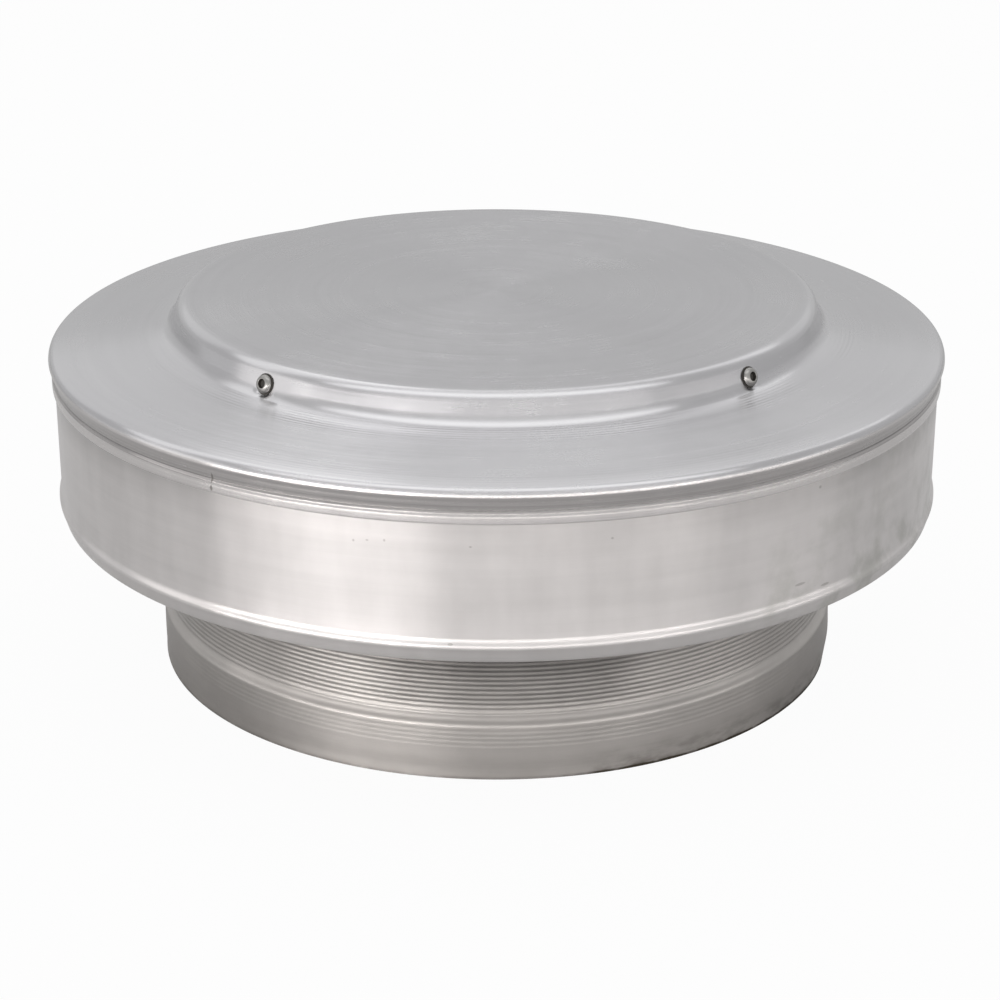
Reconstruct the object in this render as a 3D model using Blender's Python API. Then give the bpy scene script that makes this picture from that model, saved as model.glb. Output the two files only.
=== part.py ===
"""Vent pipe cap of spun aluminium.

A collar slips over the end of a round vent pipe. Four straps riveted inside it carry a
spun hood, and a skirt band hangs from the hood's crimped flange, so that air leaves
downwards through the ring between the collar and the band.

Lengths are in metres, +Z is up, and the origin is at the centre of the collar's lower edge.
Angles round the cap are measured from the front, which is -Y, towards +X.
"""

import math

import bmesh
import bpy
from mathutils import Matrix, Vector

# Sheet and fits
SHEET = 0.0010
SEAT_GAP = 0.0003

# Collar: a socket over the pipe, a shoulder, and a neck with rolling marks
PIPE_DIAMETER = 0.32385
PIPE_CLEARANCE = 0.0014
SOCKET_HEIGHT = 0.0265
NECK_STEP = 0.0033
FLARE_HEIGHT = 0.0125
RIB_COUNT = 13
RIB_PITCH = 0.0022
RIB_DEPTH = 0.00035
RIB_OFFSET = 0.0026
EDGE_GROOVE_HEIGHT = 0.0050
EDGE_GROOVE_DEPTH = 0.0006

# Knock in the collar's lower edge
DENT_ANGLE = math.radians(83)
DENT_SPREAD = math.radians(9)
DENT_HEIGHT = 0.0055
DENT_DEPTH = 0.0013
BULGE_HEIGHT = 0.0110

# Skirt band
AIR_GAP = 0.0450
SKIRT_CLEARANCE = 0.0781
SKIRT_DEPTH = 0.0779
COLLAR_OVERLAP = 0.0270
BEAD_HEIGHT = 0.0075
BEAD_HALF_WIDTH = 0.0026
BEAD_DEPTH = 0.0016
LIP_FLARE = 0.0006
LIP_TAPER = 0.0008
HEM_WIDTH = 0.0030

# Hood
RIM_OVERHANG = 0.0011
PLATE_SLOPE = math.radians(7.1)
RIM_ROLL_HEIGHT = 0.0036
DISC_SETBACK = 0.0048
DISC_RISE = 0.0133
WALL_SLANT = math.radians(22.5)
FLANGE_DEPTH = 0.0155
CRIMP_DROP = 0.0093
CRIMP_RUN = 0.0033
CRIMP_RETURN = 0.0011
CRIMP_DEPTH = 0.0007

# Corner radii on the outer faces
DISC_EDGE_FILLET = 0.0056
DISC_BASE_FILLET = 0.0055
RIM_FILLET = 0.0025
BEAD_FILLET = 0.0020
HEM_FILLET = 0.0012

# Straps
STRAP_THICKNESS = 0.0016
STRAP_WIDTH = 0.0260
STRAP_TAB = 0.0046
STRAP_LAP = 0.0240
STRAP_BEND_RISE = 0.0100
STRAP_FILLET = 0.0040
STRAP_PHASE = math.radians(2.6)
STRAP_PAIR_SPREAD = math.radians(87)

# Blind rivets
SHANK_DIAMETER = 0.0048
HEAD_DIAMETER = 0.0095
HEAD_HEIGHT = 0.0026
HEAD_EDGE = 0.0006
MANDREL_DIAMETER = 0.0031
MANDREL_DEPTH = 0.0026
TAIL_DIAMETER = 0.0068
TAIL_LENGTH = 0.0034
TAIL_BEVEL = 0.0008
WALL_RIVET_RISE = 0.0059
COLLAR_RIVET_DROP = 0.0120

# Facets
SEGMENTS = 56
RIVET_SEGMENTS = 12
STRAP_SEGMENTS = 3
FLARE_STEPS = 4
EDGE_STEPS = 4
ARC_STEP = math.radians(32)
SHARP_ANGLE = math.radians(38)

# Radii and heights that follow from the sizes above
SOCKET_RADIUS = PIPE_DIAMETER / 2 + PIPE_CLEARANCE + SHEET
NECK_RADIUS = SOCKET_RADIUS - NECK_STEP
BAND_RADIUS = SOCKET_RADIUS + AIR_GAP + SHEET
FLANGE_RADIUS = BAND_RADIUS + SEAT_GAP + SHEET
RIM_RADIUS = FLANGE_RADIUS + RIM_OVERHANG
WALL_BASE_RADIUS = NECK_RADIUS - DISC_SETBACK
COLLAR_TOP = SKIRT_CLEARANCE + COLLAR_OVERLAP
RIM_HEIGHT = SKIRT_CLEARANCE + SKIRT_DEPTH
WALL_BASE_HEIGHT = RIM_HEIGHT + (RIM_RADIUS - WALL_BASE_RADIUS) * math.tan(PLATE_SLOPE)
DISC_HEIGHT = WALL_BASE_HEIGHT + DISC_RISE


def rounded(corners):
    """Return the path through (radius, height) corners, rounding those with a fillet radius."""
    points = [Vector(corner[:2]) for corner in corners]
    path = []
    for index, corner in enumerate(corners):
        if len(corner) == 3:
            path += fillet(points[index - 1], points[index], points[index + 1], corner[2])
        else:
            path.append(points[index])
    return path


def fillet(before, corner, after, radius):
    """Return the arc that rounds one corner, no longer than half of either leg."""
    leg_in = before - corner
    leg_out = after - corner
    half_angle = leg_in.angle(leg_out) / 2
    reach = min(radius / math.tan(half_angle), leg_in.length / 2, leg_out.length / 2)
    start = corner + leg_in.normalized() * reach
    end = corner + leg_out.normalized() * reach
    bisector = (leg_in.normalized() + leg_out.normalized()).normalized()
    centre = corner + bisector * reach / math.cos(half_angle)
    arc_radius = (start - centre).length
    steps = max(1, math.ceil((math.pi - 2 * half_angle) / ARC_STEP))
    return [
        centre + (start - centre).slerp(end - centre, step / steps) * arc_radius
        for step in range(steps + 1)
    ]


def offset(path, distance):
    """Return the path moved to the right of its own direction, with mitred corners."""
    normals = []
    for start, end in zip(path, path[1:]):
        along = (end - start).normalized()
        normals.append(Vector((along.y, -along.x)))
    moved = []
    for index, point in enumerate(path):
        first = normals[max(index - 1, 0)]
        second = normals[min(index, len(normals) - 1)]
        mitre = (first + second).normalized()
        moved.append(point + mitre * distance / mitre.dot(first))
    return moved


def sheet_outline(path, thickness):
    """Return the closed section of a sheet whose outer face follows the path."""
    return path + offset(path, thickness)[::-1]


def facet_sag(radius):
    """Return how far a facet's middle lies inside the circle that its corners are on."""
    return radius * (1 - math.cos(math.pi / SEGMENTS))


def new_object(name, mesh_data, material, parent):
    """Write a bmesh to a smooth-shaded object under the given parent."""
    mesh = bpy.data.meshes.new(name)
    bmesh.ops.recalc_face_normals(mesh_data, faces=mesh_data.faces)
    mesh_data.to_mesh(mesh)
    mesh_data.free()
    mesh.materials.append(material)
    mesh.shade_smooth()
    mesh.set_sharp_from_angle(angle=SHARP_ANGLE)
    body = bpy.data.objects.new(name, mesh)
    bpy.context.scene.collection.objects.link(body)
    body.parent = parent
    return body


def turned(outline, segments, closed):
    """Spin an outline of (radius, height) points once round +Z into a closed bmesh."""
    body = bmesh.new()
    verts = [body.verts.new((point.x, 0.0, point.y)) for point in outline]
    edges = [body.edges.new(pair) for pair in zip(verts, verts[1:])]
    if closed:
        edges.append(body.edges.new((verts[-1], verts[0])))
    bmesh.ops.spin(
        body,
        geom=verts + edges,
        axis=(0, 0, 1),
        cent=(0, 0, 0),
        angle=math.tau,
        steps=segments,
        use_merge=True,
    )
    bmesh.ops.remove_doubles(body, verts=body.verts, dist=1e-6)
    return body


def seat_matrix(angle, radius, height, tilt):
    """Return the placing of a rivet whose axis leaves the sheet at this point."""
    outward = Vector((math.sin(angle) * math.cos(tilt), -math.cos(angle) * math.cos(tilt), math.sin(tilt)))
    place = Vector((radius * math.sin(angle), -radius * math.cos(angle), height))
    return Matrix.Translation(place) @ outward.to_track_quat("Z", "Y").to_matrix().to_4x4()


def wall_seat(angle):
    """Return the rivet seat on the outer face of the disc's slanting side wall."""
    height = WALL_BASE_HEIGHT + WALL_RIVET_RISE
    radius = WALL_BASE_RADIUS - WALL_RIVET_RISE * math.tan(WALL_SLANT)
    return seat_matrix(angle, radius, height, WALL_SLANT)


def collar_seat(angle):
    """Return the rivet seat on the outer face of the collar's neck."""
    return seat_matrix(angle, NECK_RADIUS, COLLAR_TOP - COLLAR_RIVET_DROP, 0.0)


def strap_angles():
    """Return the angles of the four straps: a pair at the front and a pair at the back."""
    half = STRAP_PAIR_SPREAD / 2
    return [STRAP_PHASE + centre + side * half for centre in (0.0, math.pi) for side in (-1, 1)]


def drill(body, seats):
    """Cut a clearance hole for a rivet's shank through the body at each seat."""
    drills = bmesh.new()
    for seat in seats:
        bmesh.ops.create_cone(
            drills,
            cap_ends=True,
            segments=RIVET_SEGMENTS,
            radius1=SHANK_DIAMETER / 2 + SEAT_GAP,
            radius2=SHANK_DIAMETER / 2 + SEAT_GAP,
            depth=HEAD_DIAMETER,
            matrix=seat,
        )
    cutter = new_object(body.name + "_drill", drills, body.data.materials[0], body.parent)
    cutter.hide_render = True
    cutter.display_type = "WIRE"
    holes = body.modifiers.new("rivet holes", "BOOLEAN")
    holes.operation = "DIFFERENCE"
    holes.solver = "EXACT"
    holes.object = cutter


def flange_path():
    """Return the flange's outer face from under the rim downwards, with its crimp groove."""
    groove_bottom = RIM_HEIGHT - CRIMP_DROP
    return [
        Vector((FLANGE_RADIUS, RIM_HEIGHT - RIM_ROLL_HEIGHT)),
        Vector((FLANGE_RADIUS, groove_bottom + CRIMP_RUN)),
        Vector((FLANGE_RADIUS - CRIMP_DEPTH, groove_bottom)),
        Vector((FLANGE_RADIUS, groove_bottom - CRIMP_RETURN)),
        Vector((FLANGE_RADIUS, RIM_HEIGHT - FLANGE_DEPTH)),
    ]


def make_hood(material, parent):
    """Spin the hood: raised disc, slanting wall, annular plate, rim and crimped flange."""
    wall_top_radius = WALL_BASE_RADIUS - DISC_RISE * math.tan(WALL_SLANT)
    corners = [
        (0.0, DISC_HEIGHT),
        (wall_top_radius, DISC_HEIGHT, DISC_EDGE_FILLET),
        (WALL_BASE_RADIUS, WALL_BASE_HEIGHT, DISC_BASE_FILLET),
        (RIM_RADIUS, RIM_HEIGHT, RIM_FILLET),
        (RIM_RADIUS, RIM_HEIGHT - RIM_ROLL_HEIGHT),
        *flange_path()[1:],
    ]
    outline = sheet_outline(rounded(corners), SHEET)
    hood = new_object("hood", turned(outline, SEGMENTS, closed=False), material, parent)
    drill(hood, [wall_seat(angle) for angle in strap_angles()])


def make_skirt_band(material, parent):
    """Spin the skirt band, whose top edge lies inside the hood's flange."""
    plate_height = RIM_HEIGHT + (RIM_RADIUS - BAND_RADIUS) * math.tan(PLATE_SLOPE)
    band_top = plate_height - SHEET / math.cos(PLATE_SLOPE) - SEAT_GAP
    bead_middle = SKIRT_CLEARANCE + BEAD_HEIGHT
    lip_radius = BAND_RADIUS - LIP_TAPER
    crimp_groove = offset(flange_path(), SHEET + SEAT_GAP)[1:-1]
    corners = [
        (BAND_RADIUS, band_top),
        *crimp_groove,
        (BAND_RADIUS, bead_middle + BEAD_HALF_WIDTH),
        (BAND_RADIUS + BEAD_DEPTH, bead_middle, BEAD_FILLET),
        (BAND_RADIUS + LIP_FLARE, bead_middle - BEAD_HALF_WIDTH),
        (lip_radius, SKIRT_CLEARANCE, HEM_FILLET),
        (lip_radius - HEM_WIDTH, SKIRT_CLEARANCE),
    ]
    outline = sheet_outline(rounded(corners), SHEET)
    new_object("skirt_band", turned(outline, SEGMENTS, closed=True), material, parent)


def collar_radius(height):
    """Return the collar's outer radius at a height, without the neck's ribs."""
    if height < 2 * EDGE_GROOVE_HEIGHT:
        swing = math.cos(math.pi * height / EDGE_GROOVE_HEIGHT)
        return SOCKET_RADIUS - EDGE_GROOVE_DEPTH * (1 - swing) / 2
    share = min(max((height - SOCKET_HEIGHT) / FLARE_HEIGHT, 0.0), 1.0)
    return SOCKET_RADIUS - NECK_STEP * share * share * (3 - 2 * share)


def collar_path():
    """Return the collar's outer face from its top edge down, with the ribs of the neck."""
    rib_start = SOCKET_HEIGHT + RIB_OFFSET
    path = [Vector((NECK_RADIUS, COLLAR_TOP))]
    for half_turn in range(2 * RIB_COUNT, -1, -1):
        height = rib_start + half_turn * RIB_PITCH / 2
        groove = RIB_DEPTH if half_turn % 2 else 0.0
        path.append(Vector((collar_radius(height) - groove, height)))
    path.append(Vector((SOCKET_RADIUS, SOCKET_HEIGHT)))
    for step in range(EDGE_STEPS, -1, -1):
        height = 2 * EDGE_GROOVE_HEIGHT * step / EDGE_STEPS
        path.append(Vector((collar_radius(height), height)))
    return path


def collar_lining():
    """Return the collar's smooth inner face from its lower edge up."""
    heights = [0.0, EDGE_GROOVE_HEIGHT, 2 * EDGE_GROOVE_HEIGHT]
    heights += [SOCKET_HEIGHT + FLARE_HEIGHT * step / FLARE_STEPS for step in range(FLARE_STEPS + 1)]
    heights.append(COLLAR_TOP)
    return [Vector((collar_radius(height) - SHEET, height)) for height in heights]


def knock_edge(mesh_data):
    """Push the collar's lower edge in at one place, with a slight bulge above it."""
    for vert in mesh_data.verts:
        angle = math.atan2(vert.co.x, -vert.co.y) - DENT_ANGLE
        round_share = math.exp(-((angle / DENT_SPREAD) ** 2))
        up_share = (1 - vert.co.z / DENT_HEIGHT) * math.exp(-((vert.co.z / BULGE_HEIGHT) ** 2))
        push = DENT_DEPTH * round_share * up_share
        radius = math.hypot(vert.co.x, vert.co.y)
        vert.co.x *= 1 - push / radius
        vert.co.y *= 1 - push / radius


def make_collar(material, parent):
    """Spin the collar and knock its lower edge."""
    mesh_data = turned(collar_path() + collar_lining(), SEGMENTS, closed=True)
    knock_edge(mesh_data)
    collar = new_object("collar", mesh_data, material, parent)
    drill(collar, [collar_seat(angle) for angle in strap_angles()])


def strap_path():
    """Return the outer face of a strap, from its tab inside the disc's wall to the collar."""
    wall = Vector((math.sin(WALL_SLANT), -math.cos(WALL_SLANT)))
    inward = Vector((wall.y, -wall.x))
    seat = Vector((
        WALL_BASE_RADIUS - WALL_RIVET_RISE * math.tan(WALL_SLANT),
        WALL_BASE_HEIGHT + WALL_RIVET_RISE,
    ))
    seat += inward * (SHEET + SEAT_GAP + facet_sag(WALL_BASE_RADIUS))
    lower_radius = NECK_RADIUS - SHEET - SEAT_GAP - facet_sag(NECK_RADIUS)
    top = seat - wall * STRAP_TAB
    knee = seat + wall * STRAP_TAB
    return rounded([
        (top.x, top.y),
        (knee.x, knee.y, STRAP_FILLET),
        (lower_radius, COLLAR_TOP + STRAP_BEND_RISE, STRAP_FILLET),
        (lower_radius, COLLAR_TOP - STRAP_LAP),
    ])


def make_strap(number, angle, material, parent):
    """Form one strap to the curve of the collar and drill both of its ends."""
    width_angle = STRAP_WIDTH / NECK_RADIUS
    outline = sheet_outline(strap_path(), STRAP_THICKNESS)
    body = bmesh.new()
    verts = [body.verts.new((point.x, 0.0, point.y)) for point in outline]
    edges = [body.edges.new(pair) for pair in zip(verts, verts[1:] + verts[:1])]
    bmesh.ops.spin(
        body,
        geom=verts + edges,
        axis=(0, 0, 1),
        cent=(0, 0, 0),
        angle=width_angle,
        steps=STRAP_SEGMENTS,
    )
    bmesh.ops.holes_fill(body, edges=body.edges, sides=0)
    to_front = Matrix.Rotation(angle - math.pi / 2 - width_angle / 2, 4, "Z")
    bmesh.ops.transform(body, matrix=to_front, verts=body.verts)
    strap = new_object(f"support_strap_{number}", body, material, parent)
    drill(strap, [wall_seat(angle), collar_seat(angle)])


def rivet_outline(grip):
    """Return a set blind rivet's outline, with the underside of its head at height 0."""
    hole_radius = MANDREL_DIAMETER / 2
    head_radius = HEAD_DIAMETER / 2
    tail_radius = TAIL_DIAMETER / 2
    tail_end = -grip - TAIL_LENGTH
    dome = rounded([
        (hole_radius, HEAD_HEIGHT),
        ((hole_radius + head_radius) / 2, HEAD_HEIGHT, head_radius),
        (head_radius, HEAD_EDGE),
    ])
    outline = [(0.0, HEAD_HEIGHT - MANDREL_DEPTH), (hole_radius, HEAD_HEIGHT - MANDREL_DEPTH)]
    outline += [(point.x, point.y) for point in dome]
    outline += [
        (head_radius, 0.0),
        (SHANK_DIAMETER / 2, 0.0),
        (SHANK_DIAMETER / 2, -grip),
        (tail_radius, -grip - TAIL_BEVEL),
        (tail_radius, tail_end + TAIL_BEVEL),
        (tail_radius - TAIL_BEVEL, tail_end),
        (0.0, tail_end),
    ]
    return [Vector(point) for point in outline]


def make_rivet(name, seat, sheet_radius, material, parent):
    """Set one blind rivet through a sheet of this radius and the strap behind it."""
    stack = SHEET + SEAT_GAP + facet_sag(sheet_radius) + STRAP_THICKNESS
    grip = SEAT_GAP + stack + SEAT_GAP
    mesh_data = turned(rivet_outline(grip), RIVET_SEGMENTS, closed=False)
    rivet = new_object(name, mesh_data, material, parent)
    rivet.matrix_world = seat @ Matrix.Translation((0, 0, SEAT_GAP))


def make_material(name, colour, roughness):
    """Return a metal with this base colour and roughness."""
    material = bpy.data.materials.new(name)
    material.use_nodes = True
    shader = material.node_tree.nodes["Principled BSDF"]
    shader.inputs["Base Color"].default_value = (*colour, 1.0)
    shader.inputs["Metallic"].default_value = 1.0
    shader.inputs["Roughness"].default_value = roughness
    return material


def clear_scene():
    """Remove every object that the file opened with."""
    for item in list(bpy.data.objects):
        bpy.data.objects.remove(item, do_unlink=True)


def main():
    clear_scene()
    cap = bpy.data.objects.new("vent_pipe_cap", None)
    bpy.context.scene.collection.objects.link(cap)
    spun = make_material("spun_aluminium", (0.62, 0.62, 0.61), 0.32)
    neck = make_material("collar_aluminium", (0.50, 0.50, 0.47), 0.36)
    strip = make_material("strap_aluminium", (0.55, 0.55, 0.54), 0.40)
    rivet = make_material("rivet_aluminium", (0.58, 0.57, 0.55), 0.30)
    make_hood(spun, cap)
    make_skirt_band(spun, cap)
    make_collar(neck, cap)
    for number, angle in enumerate(strap_angles(), start=1):
        make_strap(number, angle, strip, cap)
        make_rivet(f"cap_rivet_{number}", wall_seat(angle), WALL_BASE_RADIUS, rivet, cap)
        make_rivet(f"collar_rivet_{number}", collar_seat(angle), NECK_RADIUS, rivet, cap)


main()
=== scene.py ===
"""Vent pipe cap of spun aluminium: finished sheets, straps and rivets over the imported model.

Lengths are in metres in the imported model's frame: +Z up, the front at -Y and the origin at the
centre of the collar's lower edge. Angles round the cap go from the front towards +X.
"""

import math

import bmesh
import bpy
from bpy.props import FloatProperty, FloatVectorProperty, IntProperty, PointerProperty
from mathutils import Matrix, Vector


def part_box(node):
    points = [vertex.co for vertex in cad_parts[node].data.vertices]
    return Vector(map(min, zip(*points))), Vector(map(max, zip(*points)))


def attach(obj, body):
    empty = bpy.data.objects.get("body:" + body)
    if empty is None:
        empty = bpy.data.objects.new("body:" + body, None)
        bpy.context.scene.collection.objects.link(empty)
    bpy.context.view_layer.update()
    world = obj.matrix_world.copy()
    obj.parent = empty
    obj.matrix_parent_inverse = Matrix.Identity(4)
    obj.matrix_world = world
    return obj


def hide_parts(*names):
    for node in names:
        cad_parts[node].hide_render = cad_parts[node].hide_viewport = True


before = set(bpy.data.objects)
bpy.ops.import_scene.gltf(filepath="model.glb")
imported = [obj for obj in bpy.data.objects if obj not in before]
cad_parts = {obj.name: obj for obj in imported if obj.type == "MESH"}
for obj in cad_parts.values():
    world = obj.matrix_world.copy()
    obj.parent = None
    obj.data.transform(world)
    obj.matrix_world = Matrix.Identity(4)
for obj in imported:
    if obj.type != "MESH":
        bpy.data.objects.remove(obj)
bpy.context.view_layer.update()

bl_info = {
    "name": "Vent Pipe Cap",
    "version": (1, 0, 0),
    "blender": (4, 5, 0),
    "location": "View3D > Sidebar > Vent Cap",
    "description": "Models and finishes a spun aluminium vent pipe cap over its packed model",
    "category": "Object",
}

HOOD_LOW, HOOD_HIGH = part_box("hood")
BAND_LOW, BAND_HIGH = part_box("skirt_band")
COLLAR_LOW, COLLAR_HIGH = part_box("collar")

HOOD_STEPS = 640
BAND_STEPS = 512
COLLAR_STEPS = 320
RIVET_STEPS = 40
FILLET_STEPS = 7
RING_REACH = 2e-5
MERGE_REACH = 1e-6
SMOOTH_ANGLE = math.radians(35)

# Heights and radii between which a finish or a painted shade fades or a mark lies

HOOD_ROLL = (0.1530, 0.1545)
# Top of the painted shade under the hood's rolled rim
HOOD_UNDER_RIM_SHADE_TOP = 0.1521
# Half height of the painted shade line along the hood's crimp groove
HOOD_CRIMP_SHADE_HALF = 0.0007
HOOD_PLATE = (0.150, 0.156)
HOOD_WALL_RIPPLES = (0.1600, 0.1690)
HOOD_RIM_RIPPLES = (0.1990, 0.2060)
BAND_LOWER = (0.084, 0.112)
BAND_UPPER = (0.122, 0.142)
BAND_BEAD = (0.0674, 0.0728)
COLLAR_EDGE_LINE = (0.0005, 0.0016)
COLLAR_EDGE = (0.0006, 0.0034)
COLLAR_SPLASH = (0.003, 0.015)
COLLAR_SHOULDER = (0.028, 0.031)
COLLAR_FRONT = (0.027, 0.040)
COLLAR_NECK = (0.040, 0.058)

# Sides of the cap, in degrees from the front: two stained more than the rest, and the neck's front,
# which is painted in shade

BAND_STAINED = (38, 78)
COLLAR_STAINED = (22, 85)
COLLAR_SHADED = (-13, 17)

# Small marks: degrees from the front, height, half width and half height

HOOD_NICK = ((-34.2, 0.1470, 0.0005, 0.0022), (-34.3, 0.1425, 0.0007, 0.0012))
BAND_SPECKS = (
    (13.0, 0.1322, 0.0006, 0.0005),
    (40.8, 0.1369, 0.0008, 0.0007),
    (-2.9, 0.1304, 0.0006, 0.0004),
    (-16.2, 0.1301, 0.0005, 0.0006),
    (-14.6, 0.1308, 0.0006, 0.0004),
    (-12.6, 0.1314, 0.0005, 0.0006),
    (22.5, 0.0785, 0.0014, 0.0005),
    (-5.2, 0.0869, 0.0011, 0.0005),
    (38.2, 0.0946, 0.0030, 0.0006),
    (42.5, 0.0902, 0.0026, 0.0006),
)

# Lamps: degrees from the front and over the floor, width and height in degrees, brightness, tint

WHITE = (1.0, 1.0, 1.0)
WARM = (1.0, 0.970, 0.955)
LAMPS = (
    ("lamp_overhead", 0, 78, 80, 32, 1.25, WHITE),
    ("lamp_front", 3, 36, 90, 16, 0.45, WARM),
    ("lamp_low_left", -42, 5, 58, 9, 7.6, WARM),
    ("lamp_low_front", -2, 5, 110, 9, 4.3, WARM),
    ("lamp_low_right", 62, 5, 60, 9, 2.2, WARM),
    ("lamp_far_left", -97, 4, 48, 8, 0.4, WHITE),
    ("lamp_left", -80, 16, 34, 24, 0.8, WARM),
    ("lamp_back", -165, 58, 100, 28, 0.7, WHITE),
    ("lamp_back_streak", -161, 50, 12, 22, 0.8, WHITE),
    ("lamp_back_left", -148, 28, 34, 24, 0.25, WHITE),
    ("lamp_back_right", 148, 28, 34, 24, 0.20, WHITE),
)


def length(name, description, default, **limits):
    """Return a length property in metres."""
    return FloatProperty(
        name=name, description=description, default=default, subtype="DISTANCE", unit="LENGTH",
        precision=5, min=0.0, **limits,
    )


def angle(name, description, degrees):
    """Return an angle property whose default is given in degrees."""
    return FloatProperty(
        name=name, description=description, default=math.radians(degrees), subtype="ANGLE",
        unit="ROTATION",
    )


def share(name, description, default):
    """Return a property between 0 and 1."""
    return FloatProperty(name=name, description=description, default=default, min=0.0, max=1.0)


def colour(name, description, default):
    """Return a colour property."""
    return FloatVectorProperty(
        name=name, description=description, default=default, subtype="COLOR", size=3,
        min=0.0, max=1.0,
    )


def point(name, description, default):
    """Return the property of a place in metres."""
    return FloatVectorProperty(
        name=name, description=description, default=default, subtype="TRANSLATION",
        unit="LENGTH", size=3,
    )


class VentHoodSizes(bpy.types.PropertyGroup):
    """The spun hood: raised disc, slanting wall, annular plate, rim and crimped flange."""

    sheet: length("Sheet", "Thickness of the aluminium sheet", 0.001)
    rim_radius: length("Rim radius", "Radius of the hood's widest ring", HOOD_HIGH.x)
    disc_height: length("Disc height", "Height of the raised disc", HOOD_HIGH.z)
    disc_rise: length("Disc rise", "Height of the disc over the plate's inner edge", 0.01314)
    wall_base_radius: length("Wall base radius", "Radius where the wall meets the plate", 0.1556)
    wall_slant: angle("Wall slant", "Slant of the wall from upright", 19.5)
    plate_slope: angle("Plate slope", "Fall of the plate towards the rim", 7.1)
    disc_fillet: length("Disc fillet", "Radius of the disc's edge", 0.0056)
    base_fillet: length("Base fillet", "Radius at the foot of the wall", 0.0090)
    base_crease: angle("Base crease", "Turn left between the foot of the wall and the plate", 18.0)
    rim_fillet: length("Rim fillet", "Radius of the rim", 0.0038)
    overhang: length("Rim overhang", "How far the rim stands out over the flange", 0.0011)
    roll_height: length("Roll height", "Height of the rolled rim over the step to the flange", 0.0036)
    step_height: length("Step height", "Height of the step under the rolled rim", 0.0020)
    flange_bottom: length("Flange bottom", "Height of the flange's lower edge", HOOD_LOW.z)
    crimp_height: length("Crimp height", "Height of the crimp groove", 0.1467)
    crimp_depth: length("Crimp depth", "Depth of the crimp groove", 0.0007)
    crimp_run: length("Crimp run", "How far the groove's upper side runs up the flange", 0.0035)
    crimp_return: length("Crimp return", "How far the groove's steep lower side runs down", 0.0016)
    trace_drop: length("Trace drop", "How far the tool's second trace lies under the groove", 0.0026)
    trace_depth: length("Trace depth", "Depth of the second trace", 0.00006)
    trace_width: length("Trace half width", "Half of the second trace's height", 0.0007)
    curl_height: length("Curl height", "Height of the flange's turned-in lower edge", 0.0006)
    curl: length("Curl", "How far the lower edge is turned in", 0.00025)
    press_radius: length("Pressed radius", "Radius round a rivet that is pressed flat", 0.0049)
    press_fade: length("Pressed fade", "Width over which the flat round a rivet fades out", 0.0016)
    press_depth: length("Pressed depth", "Deepest place that a rivet presses in", 0.0026)


class VentBandSizes(bpy.types.PropertyGroup):
    """The skirt band under the flange, with a bead and a hemmed lip at its lower edge."""

    radius: length("Radius", "Outer radius of the plain band", 0.210325)
    bead_height: length("Bead height", "Height of the bead over the lower edge", 0.0075)
    bead_half_width: length("Bead half width", "Half of the bead's height", 0.0026)
    bead_depth: length("Bead depth", "How far the bead stands out", 0.0016)
    lip_flare: length("Lip flare", "How far the band stands out just under the bead", 0.0006)
    lip_taper: length("Lip taper", "How far the lower edge is drawn in", 0.0008)
    hem_width: length("Hem width", "Width of the turned-in hem", 0.0030)


class VentCollarSizes(bpy.types.PropertyGroup):
    """The collar: a socket over the pipe, a shoulder and a neck with rolled ribs."""

    socket_radius: length("Socket radius", "Outer radius of the socket", 0.164325)
    neck_step: length("Neck step", "How much narrower the neck is than the socket", 0.0033)
    socket_height: length("Socket height", "Height of the shoulder", 0.0261)
    flare_height: length("Flare height", "Height over which the neck flares out", 0.0125)
    shoulder_soft: length("Shoulder softness", "Height over which the shoulder is rounded", 0.0010)
    rib_count: IntProperty(name="Ribs", description="Number of rolled ribs", default=13, min=0)
    rib_pitch: length("Rib pitch", "Distance from rib to rib", 0.00227)
    rib_depth: length("Rib depth", "Depth of the grooves between ribs", 0.00024)
    rib_start: length("Rib start", "Height of the lowest rib", 0.0290)
    faint_depth: length("Faint ring depth", "Depth of the faint rings under the shoulder", 0.00005)
    faint_end: length("Faint ring end", "Height at which the faint rings run out", 0.0150)
    edge_groove_height: length("Edge groove height", "Height of the groove at the edge", 0.0050)
    edge_groove_depth: length("Edge groove depth", "Depth of the groove at the edge", 0.0001)
    knock_angle: angle("Knock angle", "Where the lower edge is knocked in", 83.0)
    knock_spread: angle("Knock spread", "Half width of the knock", 9.0)
    knock_depth: length("Knock depth", "How far the edge is knocked in", 0.0013)
    knock_height: length("Knock height", "Height over which the knock fades", 0.0055)
    bulge_height: length("Bulge height", "Height over which the bulge above it fades", 0.0110)


class VentStrapSizes(bpy.types.PropertyGroup):
    """The four straps that carry the hood, and where they are riveted."""

    thickness: length("Thickness", "Thickness of the bar", 0.0016)
    width: length("Width", "Width of the bar", 0.0260)
    tab: length("Tab", "Half length of the tab on the wall", 0.0046)
    lap: length("Lap", "Length that lies on the collar", 0.0240)
    bend_rise: length("Bend rise", "Height of the lower bend over the collar", 0.0100)
    bend_width: length("Bend width", "How far from its corner a bend starts", 0.0018)
    edge_radius: length("Edge radius", "Softening of the bar's edges", 0.0003)
    phase: angle("Phase", "Turn of the whole set from the front", 2.6)
    spread: angle("Pair spread", "Angle between the straps of a pair", 87.0)
    seat_gap: length("Seat gap", "Clearance between sheet and bar", 0.0003)
    head_gap: length("Head gap", "Clearance between a rivet's head and the sheet", 0.00008)
    wall_rivet_rise: length("Wall rivet rise", "Height of the upper rivets over the plate", 0.0051)
    collar_rivet_drop: length("Collar rivet drop", "Depth of the lower rivets in the collar", 0.0120)


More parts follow.
